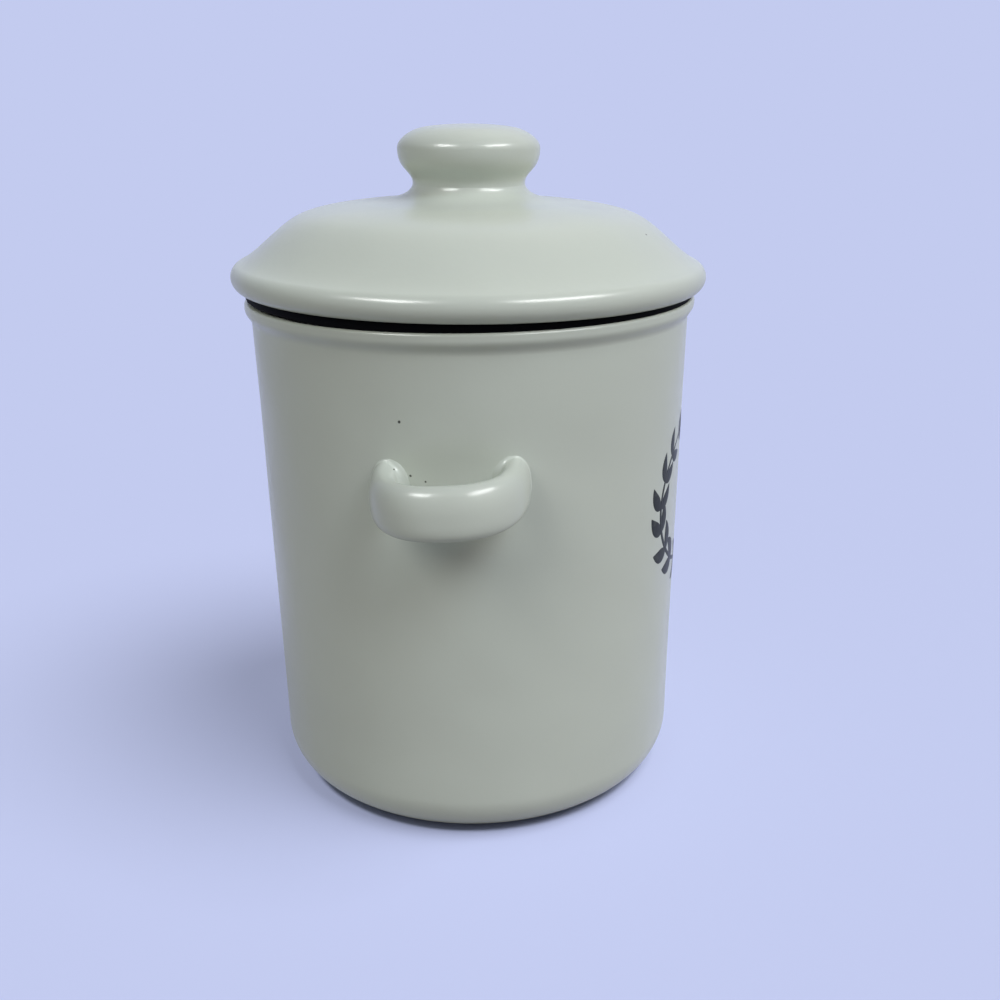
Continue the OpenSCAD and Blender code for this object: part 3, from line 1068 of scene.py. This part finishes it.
@dataclass
class Seal:
    """Black ring: a flange between lip and lid, and a finned sleeve round the lid's skirt."""

    lid: Lid
    inset: float = 0.6 * MM
    fin_droop: float = 1.1 * MM
    fin_tip_r: float = 0.17 * MM
    fin_back: float = 0.35 * MM
    lock_share: float = 0.96

    def outline(self) -> np.ndarray:
        """Draws the ring's section: sleeve, two drooping fins, flange, and the bead that locks it.

        Returns:
            The section's points.
        """
        lid, lip = self.lid, self.lid.crock.height
        sleeve_h = lid.skirt_h - lid.seal_t - lid.skirt_t / 2
        inner, sleeve = lid.skirt_r, lid.skirt_r + lid.sleeve_t
        tip = sleeve + lid.fin_reach
        edge = lid.seal_t / 4
        rim = self.lid.crock.lip_r - self.inset
        pen = Outline(inner, lip - sleeve_h).line(sleeve, lip - sleeve_h, 2)
        for share in (0.8, 0.35):
            z = lip - share * sleeve_h
            pen.line(sleeve, z - self.fin_droop).line(tip - 0.15 * MM, z, 3)
            pen.arc(tip - self.fin_tip_r, z + self.fin_tip_r, self.fin_tip_r, -60, 90, 5)
            pen.line(tip - 0.2 * MM, z + self.fin_back).line(sleeve, z + self.fin_back, 3)
        return (
            pen.line(sleeve, lip)
            .line(rim - edge, lip, 6)
            .arc(rim - edge, lip + edge, edge, -90, 0, 5)
            .arc(rim - edge, lid.under_z - edge, edge, 0, 90, 5)
            .line(inner, lid.under_z, 6)
            .arc(inner, lid.lock_z, lid.lock_r * self.lock_share, 90, 270, 10)
            .points
        )

    def build(self, silicone: bpy.types.Material) -> None:
        """Makes the ring: it tips with the lid, while its flange's underside stays on the lip.

        Args:
            silicone: The ring's finish.
        """
        patch = self.lid.leaned(revolve(self.outline(), 256))
        points = patch.points
        z = points[..., 2]
        lip = self.lid.crock.height
        on_lip = np.hypot(points[..., 0], points[..., 1]) > self.lid.skirt_r + self.lid.sleeve_t + 0.2 * MM
        low = on_lip & (z < lip + 0.5 * MM) & (z > lip - 1.2 * MM)
        flange = self.outline()[:, 1] > lip - 0.01 * MM
        sunk = z < lip + 0.02 * MM
        points[..., 2] = np.where(flange[:, None] & (low | sunk), lip, z)
        settle(make_piece("seal", [patch], silicone), "lid_body", "silicone", "seal_ring")


@dataclass
class Strainer:
    """Pressed steel cup on the crock's ledge, with wire cloth clamped in its floor and two drop loops."""

    crock: Crock
    depth: float = 27.0 * MM
    sheet_t: float = 0.8 * MM
    cup_gap: float = 0.5 * MM
    rim_gap: float = 0.4 * MM
    rim_bead_r: float = 0.9 * MM
    draft: float = 2.8 * MM
    bend_r: float = 2.0 * MM
    flange_w: float = 4.6 * MM
    pitch: float = 2.0 * MM
    wire_d: float = 0.4 * MM
    lay_gap: float = 0.02 * MM
    clamp_h: float = 1.4 * MM
    clamp_gap: float = 0.3 * MM
    loop_wire_r: float = 0.9 * MM
    loop_w: float = 21.0 * MM
    loop_h: float = 17.0 * MM
    loop_end: float = 0.4 * MM
    hinge_drop: float = 5.0 * MM
    eye_r: float = 1.9 * MM
    eye_w: float = 2.5 * MM
    eye_play: float = 0.1 * MM
    strip_t: float = 0.7 * MM

    @property
    def cup_r(self) -> float:
        """Outer radius of the cup under its rim."""
        return self.crock.below_ledge_r - self.cup_gap

    @property
    def floor_z(self) -> float:
        """Height of the cup's underside."""
        return self.crock.ledge_z - self.depth

    @property
    def mesh_z(self) -> float:
        """Height of the floor flange's top, where the cloth lies."""
        return self.floor_z + self.sheet_t

    @property
    def floor_r(self) -> float:
        """Outer radius of the cup at its floor."""
        return self.cup_r - self.draft

    @property
    def hole_r(self) -> float:
        """Radius of the open floor."""
        return self.floor_r - self.sheet_t - self.flange_w

    @property
    def cloth_r(self) -> float:
        """Radius to which the wire cloth is cut."""
        return self.floor_r - self.bend_r - self.wire_d

    @property
    def hinge_z(self) -> float:
        """Height of the loops' hinges."""
        return self.crock.ledge_z - self.hinge_drop

    @property
    def eye_x(self) -> float:
        """Distance from the middle to the near face of an eye."""
        return self.loop_w / 2 + 2 * self.loop_wire_r + self.loop_end

    @property
    def hinge_y(self) -> float:
        """Distance of the hinges from the axis."""
        wall = self.inner_r(self.hinge_z)
        return math.sqrt(wall**2 - (self.eye_x + self.eye_w) ** 2) - self.eye_r

    def inner_r(self, z: float) -> float:
        """Inner radius of the cup's wall at a height."""
        return self.cup_r - self.sheet_t - self.draft * (self.crock.ledge_z - z) / (self.depth - self.bend_r)

    def at_hinge(self, side: int, along: np.ndarray, out: np.ndarray, up: np.ndarray) -> np.ndarray:
        """Points from a hinge's middle: along it, out to the wall on the front (-1) or rear side, and up."""
        return np.stack([along, side * (self.hinge_y + out), self.hinge_z + up], axis=-1)

    def cup_outline(self) -> np.ndarray:
        """Draws the cup's sheet: under the flange, the rolled bead, the inside and the outside.

        Returns:
            The section's points, back to where the flange starts.
        """
        ledge = self.crock.ledge_z
        bead_x = self.crock.bore_r - self.rim_gap - self.rim_bead_r
        bead_end = 180 + math.degrees(math.asin((self.rim_bead_r - self.sheet_t) / self.rim_bead_r))
        bend_x, bend_z = self.floor_r - self.bend_r, self.floor_z + self.bend_r
        inner_bend = self.bend_r - self.sheet_t
        return (
            Outline(self.cup_r, ledge)
            .line(bead_x, ledge, 4)
            .arc(bead_x, ledge + self.rim_bead_r, self.rim_bead_r, -90, bead_end, 28)
            .arc(self.cup_r, ledge, self.sheet_t, 90, 180, 6)
            .line(bend_x + inner_bend, bend_z, 20)
            .arc(bend_x, bend_z, inner_bend, 0, -90, 10)
            .line(self.hole_r, self.mesh_z, 6)
            .line(self.hole_r, self.floor_z, 2)
            .line(bend_x, self.floor_z, 6)
            .arc(bend_x, bend_z, self.bend_r, -90, 0, 12)
            .line(self.cup_r, ledge, 20)
            .points
        )

    def clamp_outline(self) -> np.ndarray:
        """Draws the clamp ring's section, with softened upper edges.

        Returns:
            The section's points, back to its lower inner corner.
        """
        low = self.mesh_z + 2 * self.wire_d + 3 * self.lay_gap
        inner = self.hole_r + self.clamp_gap
        edge = 0.35 * self.clamp_h
        round_z = low + self.clamp_h - edge
        return (
            Outline(inner, low)
            .line(self.cloth_r, low, 4)
            .arc(self.cloth_r - edge, round_z, edge, 0, 90, 8)
            .arc(inner + edge, round_z, edge, 90, 180, 8)
            .line(inner, low, 2)
            .points
        )

    def cloth(self, material: bpy.types.Material) -> bpy.types.Object:
        """Woven wires: each one waves up and down by half a wire's width, over and under its neighbours.

        Args:
            material: The wire's finish.

        Returns:
            One piece with all wires of both directions. Wire i of the first set runs along X at
            y = i p and height A cos(pi (x / p + i)); the second set runs along Y with the sign turned.
        """
        steps, sides = 4, 5
        last = int((self.cloth_r - self.wire_d) / self.pitch)
        rank = np.arange(-last, last + 1)[:, None]
        run = np.arange(-(last + 1) * steps, (last + 1) * steps + 1)[None, :] * self.pitch / steps
        inside = run**2 + (rank * self.pitch) ** 2 < self.cloth_r**2
        middle = self.mesh_z + self.wire_d + 1.5 * self.lay_gap
        swing = 0.5 * self.wire_d * 1.03
        angle = circle(sides) + 0.3
        shape = (*inside.shape, sides)
        along = np.broadcast_to(run[..., None], shape)
        aside = np.broadcast_to((rank * self.pitch)[..., None] + self.wire_d / 2 * np.cos(angle), shape)
        wave = swing * np.cos(np.pi * (run / self.pitch + rank))
        height = wave[..., None] + self.wire_d / 2 * np.sin(angle)
        sets = [np.stack([along, aside, middle + height], axis=-1),
                np.stack([aside, along, middle - height], axis=-1)]
        points = np.concatenate([s.reshape(-1, 3) for s in sets])
        index = np.arange(inside.size * sides).reshape(shape)
        joined = inside[:, :-1] & inside[:, 1:]
        here, ahead = index[:, :-1][joined], index[:, 1:][joined]
        quads = np.stack([ahead, np.roll(ahead, -1, axis=1), np.roll(here, -1, axis=1), here], axis=-1)
        quads = quads.reshape(-1, 4)
        wires = np.arange(len(rank))
        start = index[wires, inside.argmax(axis=1)]
        stop = index[wires, run.size - 1 - inside[:, ::-1].argmax(axis=1)]
        caps = np.concatenate([start, stop[:, ::-1]])
        used = np.tile(np.broadcast_to(inside[..., None], shape).reshape(-1), 2)
        renumber = np.cumsum(used) - 1
        blocks = (quads, caps, quads + index.size, caps + index.size)
        faces = [f for block in blocks for f in renumber[block].tolist()]
        return mesh_object("wire_cloth", points[used], faces, material)

    def loop(self, side: int) -> Patch:
        """A drop loop: two feet in the eyes, two bends, two legs and a half-round bow.

        Args:
            side: 1 for the rear loop, -1 for the front one.

        Returns:
            A round wire whose middle lies in the plane y = side times the hinge's distance: rings of
            its radius times (cos a across + sin a up) about its middle, narrowed at both tips.
        """
        leg_x, bend = self.loop_w / 2, 2 * self.loop_wire_r
        end_x = self.eye_x + self.eye_w + self.loop_end
        leg = self.loop_h - self.loop_wire_r - leg_x
        half = (
            Outline(end_x, 0)
            .line(end_x - 0.25 * MM, 0)
            .line(leg_x + bend, 0, 6)
            .arc(leg_x + bend, -bend, bend, 90, 180, 12)
            .line(leg_x, -leg, 8)
            .arc(0, -leg, leg_x, 0, -90, 24)
            .points
        )
        plane = np.concatenate([half, half[-2::-1] * (-1, 1)])
        path = self.at_hinge(side, plane[:, 0], np.zeros(len(plane)), plane[:, 1])
        up = np.array([0.0, 1.0, 0.0])
        across = np.cross(tangents(path), up)
        angle = circle(20)[None, :, None]
        ring = np.cos(angle) * across[:, None, :] + np.sin(angle) * up
        scale = np.full((len(path), 1, 1), self.loop_wire_r)
        scale[[0, -1]] *= 0.72
        return Patch(path[:, None, :] + scale * ring, End.CAP, End.CAP)

    def clip(self, x: float, side: int) -> Patch:
        """A strip wrapped round the wire, with both its ends against the cup's wall.

        Args:
            x: Low end of the strip along the hinge.
            side: 1 at the rear, -1 at the front.

        Returns:
            The strip's closed surface: four corners of its section carried round the eye.
        """
        mid_r = self.loop_wire_r + self.eye_play + self.strip_t / 2
        wall = math.sqrt(self.inner_r(self.hinge_z) ** 2 - (abs(x) + self.eye_w / 2) ** 2) - self.hinge_y
        path = Outline(wall, mid_r).line(0.1 * MM, mid_r, 6).arc(0, 0, mid_r, 96, 330, 30).points
        out = tangents(path)[:, ::-1] * (1, -1) * self.strip_t / 2
        near, far = path - out, path + out
        section = [(near, x), (near, x + self.eye_w), (far, x + self.eye_w), (far, x)]
        corners = [self.at_hinge(side, np.full(len(path), at), *edge.T) for edge, at in section]
        return Patch(np.stack(corners, axis=1), End.CAP, End.CAP)

    def build(self, steel: bpy.types.Material, wire: bpy.types.Material) -> None:
        """Makes the cup, the clamp ring, the cloth, the clips and the loops.

        Args:
            steel: Finish of the sheet.
            wire: Finish of the cloth and the loops.
        """
        cup = make_piece("cup", [revolve(self.cup_outline())], steel)
        settle(cup, "strainer_body", "steel", "strainer_cup")
        clamp = make_piece("clamp_ring", [revolve(self.clamp_outline())], steel)
        settle(clamp, "strainer_body", "steel", "mesh_clamp_ring")
        settle(self.cloth(wire), "strainer_body", "steel_wire", "strainer_mesh")
        spots = [(x, side) for side in (-1, 1) for x in (self.eye_x, -self.eye_x - self.eye_w)]
        clips = make_piece("clips", [self.clip(x, side) for x, side in spots], steel, 40.0)
        settle(clips, "strainer_body", "steel", "loop_clips")
        for side, name in ((-1, "front"), (1, "rear")):
            piece = make_piece(f"{name}_lift_wire", [self.loop(side)], wire)
            settle(piece, f"{name}_loop_body", "steel_wire", f"{name}_loop")


# ------------------------------------------------------------------ studio


class Lit(enum.Enum):
    """What a sun lights, by the state of the floor in its light linking."""

    WARE = "EXCLUDE"
    TABLE = "INCLUDE"


@dataclass
class Studio:
    """Camera at the photograph's place, a plain floor and soft lamps."""

    backdrop: Colour = paint(195, 203, 239)
    camera_angle: float = 185.45
    camera_distance: float = 304.8 * MM
    camera_height: float = 178.5 * MM
    camera_clip: float = 10.0 * MM
    pitch: float = 18.99
    pan: float = 1.37
    roll: float = -0.6
    focal_share: float = 1.1528
    sensor: float = 36.0
    floor_half: float = 12.0
    lit_share: float = 0.58
    shadow_reach: float = 0.5
    bounce: float = 0.28
    foot_r: float = 49.8 * MM
    foot_blur: float = 1.6 * MM
    key_share: float = 0.82
    key_height: float = 61.0
    strip_height: float = 45.5
    strip_distance: float = 1.5
    strip_tall: float = 0.32
    strip_aim: float = 90.0 * MM

    def direction(self, aside: float, height: float) -> Vector:
        """A unit vector from the crock.

        Args:
            aside: Angle to the camera's right, in degrees.
            height: Angle above the table, in degrees.

        Returns:
            (cos a cos h, sin a cos h, sin h), with a counted from the camera's own angle.
        """
        angle, rise = math.radians(self.camera_angle + aside), math.radians(height)
        return Vector((math.cos(angle) * math.cos(rise), math.sin(angle) * math.cos(rise), math.sin(rise)))

    def camera(self) -> None:
        """Stands the camera on the left of the crock and looks down a little at it."""
        data = bpy.data.cameras.new("camera")
        data.sensor_width = self.sensor
        data.sensor_fit = "HORIZONTAL"
        data.lens = self.focal_share * self.sensor
        data.clip_start = self.camera_clip
        camera = stand("camera", data)
        bpy.context.scene.camera = camera
        ahead = self.direction(180 - self.pan, -self.pitch)
        right = ahead.cross(Vector((0, 0, 1))).normalized()
        up = right.cross(ahead)
        roll = Matrix.Rotation(math.radians(self.roll), 3, "Z")
        place = self.direction(0, 0) * self.camera_distance + Vector((0, 0, self.camera_height))
        turn = Matrix((right, up, -ahead)).transposed() @ roll
        camera.matrix_world = Matrix.Translation(place) @ turn.to_4x4()

    def lamp(self, name: str, kind: str, power: float, aside: float, height: float) -> bpy.types.Object:
        """A lamp at the origin that faces the crock from some side.

        Args:
            name: The lamp's name.
            kind: Blender's type of lamp.
            power: Its watts, or watts to a square metre for a sun.
            aside: Angle to the camera's right, in degrees.
            height: Angle above the table, in degrees.

        Returns:
            The new lamp.
        """
        data = bpy.data.lights.new(name, kind)
        data.energy = power
        lamp = stand(name, data)
        lamp.rotation_euler = self.direction(aside, height).to_track_quat("Z", "Y").to_euler()
        return lamp

    def strip(self, name: str, aside: float, wide: float, watts: float) -> None:
        """A window strip that shows only in the glaze.

        Args:
            name: The lamp's name.
            aside: Angle to the camera's right, in degrees.
            wide: Width of its face, in metres.
            watts: Its power.
        """
        lamp = self.lamp(name, "AREA", watts, aside, self.strip_height)
        lamp.data.shape = "RECTANGLE"
        lamp.data.size, lamp.data.size_y = wide, self.strip_tall
        towards = self.direction(aside, self.strip_height)
        lamp.location = towards * self.strip_distance + Vector((0, 0, self.strip_aim))
        lamp.visible_diffuse = False

    def sun(self, name: str, lit: bpy.types.Collection, aside: float, height: float, strength: float,
            softness: float, tint: tuple[float, float, float] = (1.0, 1.0, 1.0)) -> None:
        """A soft distant lamp that leaves no disc in the glaze.

        Args:
            name: The lamp's name.
            lit: What it lights; everything throws shadows.
            aside: Angle to the camera's right, in degrees.
            height: Angle above the table, in degrees.
            strength: Its light, in watts to a square metre.
            softness: The width of its disc, in degrees.
            tint: Its colour.
        """
        lamp = self.lamp(name, "SUN", strength, aside, height)
        lamp.data.color = tint
        lamp.data.angle = math.radians(softness)
        lamp.visible_glossy = False
        lamp.light_linking.receiver_collection = lit

    @staticmethod
    def reach(floor: bpy.types.Object, lit: Lit) -> bpy.types.Collection:
        """Gathers what a sun lights.

        Args:
            floor: The floor.
            lit: Whether the floor alone is lit or everything but the floor.

        Returns:
            A collection of the floor with that state.
        """
        group = bpy.data.collections.new(f"lit_{lit.name.lower()}")
        group.objects.link(floor)
        group.collection_objects[0].light_linking.link_state = lit.value
        return group

    @staticmethod
    def shown(kit: ShaderKit) -> Signal:
        """1 for rays that show the backdrop (camera, glossy and transmission) and 0 for diffuse light."""
        path = kit.node("ShaderNodeLightPath", {}, {})
        rays = [Signal(kit, path.outputs[f"Is {kind} Ray"]) for kind in ("Camera", "Glossy", "Transmission")]
        return rays[0] + rays[1] + rays[2]

    def world(self) -> None:
        """The backdrop's colour for the camera and reflections, and no light of its own."""
        world = bpy.data.worlds.new("studio")
        bpy.context.scene.world = world
        kit = ShaderKit(world)
        sockets = {"Color": self.backdrop, "Strength": self.shown(kit)}
        kit.node("ShaderNodeOutputWorld", {}, {"Surface": kit.node("ShaderNodeBackground", {}, sockets)})

    def floor(self) -> bpy.types.Object:
        """A wide sheet that keeps the crock's shadow nearby and runs into the backdrop further out.

        Returns:
            The floor. Its lit share takes light and shadow, and the rest shows the backdrop evenly.
            Under the crock's foot all of it is lit paper, so that the foot stands in a dark line.
            Diffuse rays get an even bounce from it, but none from under the foot.
        """
        kit = ShaderKit.material("floor_paper")
        away = kit.signal("ShaderNodeVectorMath", {"operation": "LENGTH"}, {0: kit.place()}, "Value")
        open_floor = away.above(self.foot_r, self.foot_blur)
        far = away.above(self.shadow_reach, self.shadow_reach)
        plain = open_floor * (1.0 - self.lit_share)
        paper = kit.node("ShaderNodeBsdfDiffuse", {}, {"Color": self.backdrop})
        glow = kit.node("ShaderNodeEmission", {}, {"Color": self.backdrop})
        bounce = kit.node("ShaderNodeEmission", {}, {"Color": WHITE, "Strength": open_floor * self.bounce})
        seen = kit.node("ShaderNodeMixShader", {}, {0: plain + far * (1.0 - plain), 1: paper, 2: glow})
        mix = kit.node("ShaderNodeMixShader", {}, {0: self.shown(kit), 1: bounce, 2: seen})
        kit.node("ShaderNodeOutputMaterial", {}, {"Surface": mix})
        corners = self.floor_half * np.array([(-1, -1, 0), (1, -1, 0), (1, 1, 0), (-1, 1, 0)])
        floor = mesh_object("floor", corners, [[0, 1, 2, 3]], kit.owner)
        return floor

    def build(self) -> None:
        """Sets the view transform and stands everything up."""
        bpy.context.scene.view_settings.view_transform = "Standard"
        self.camera()
        self.world()
        floor = self.floor()
        ware, table = self.reach(floor, Lit.WARE), self.reach(floor, Lit.TABLE)
        self.sun("right_window", ware, 50, 50, 1.24, 30, (0.88, 1.0, 1.12))
        self.sun("right_room", ware, 50, 38, 0.62, 30, (1.12, 1.0, 0.97))
        self.sun("left_window", ware, -45, 40, 1.0, 30, (1.0, 1.0, 0.96))
        self.sun("right_wall", ware, 92, 20, 0.55, 45, (1.06, 1.0, 0.9))
        self.sun("rear_window", ware, 170, 50, 0.92, 40, (1.0, 1.0, 0.86))
        self.sun("rear_wall", ware, 180, 8, 0.9, 60)
        key = self.key_share * math.pi / math.sin(math.radians(self.key_height))
        self.sun("table_key", table, 58, self.key_height, key, 38)
        self.sun("table_dome", table, 0, 90, (1 - self.key_share) * math.pi, 170)
        self.strip("right_strip", 54.5, 1.0, 32)
        self.strip("left_strip", -44, 0.6, 23)


def main() -> None:
    """Builds the studio and every piece, and logs each piece's face count."""
    logging.basicConfig(level=logging.INFO, format="%(name)s %(message)s")
    Studio().build()
    glaze = GlazeFinish().build()
    footed = GlazeFinish(name="white_glaze_bare_foot", bare_below=0.9 * MM).build()
    steel = SteelFinish("spun_steel", paint(214, 212, 200), 0.24, 0.012 * MM).build()
    wire = SteelFinish("drawn_wire", paint(206, 204, 194), 0.22, 0.006 * MM).build()
    silicone = SiliconeFinish().build()
    crock = Crock()
    crock.build(footed)
    LugHandles(crock).build(glaze)
    Wreath(crock).build(DecorFinish().build())
    lid = Lid(crock)
    lid.build(glaze)
    Seal(lid).build(silicone)
    Strainer(crock).build(steel, wire)


if __name__ == "__main__":
    main()
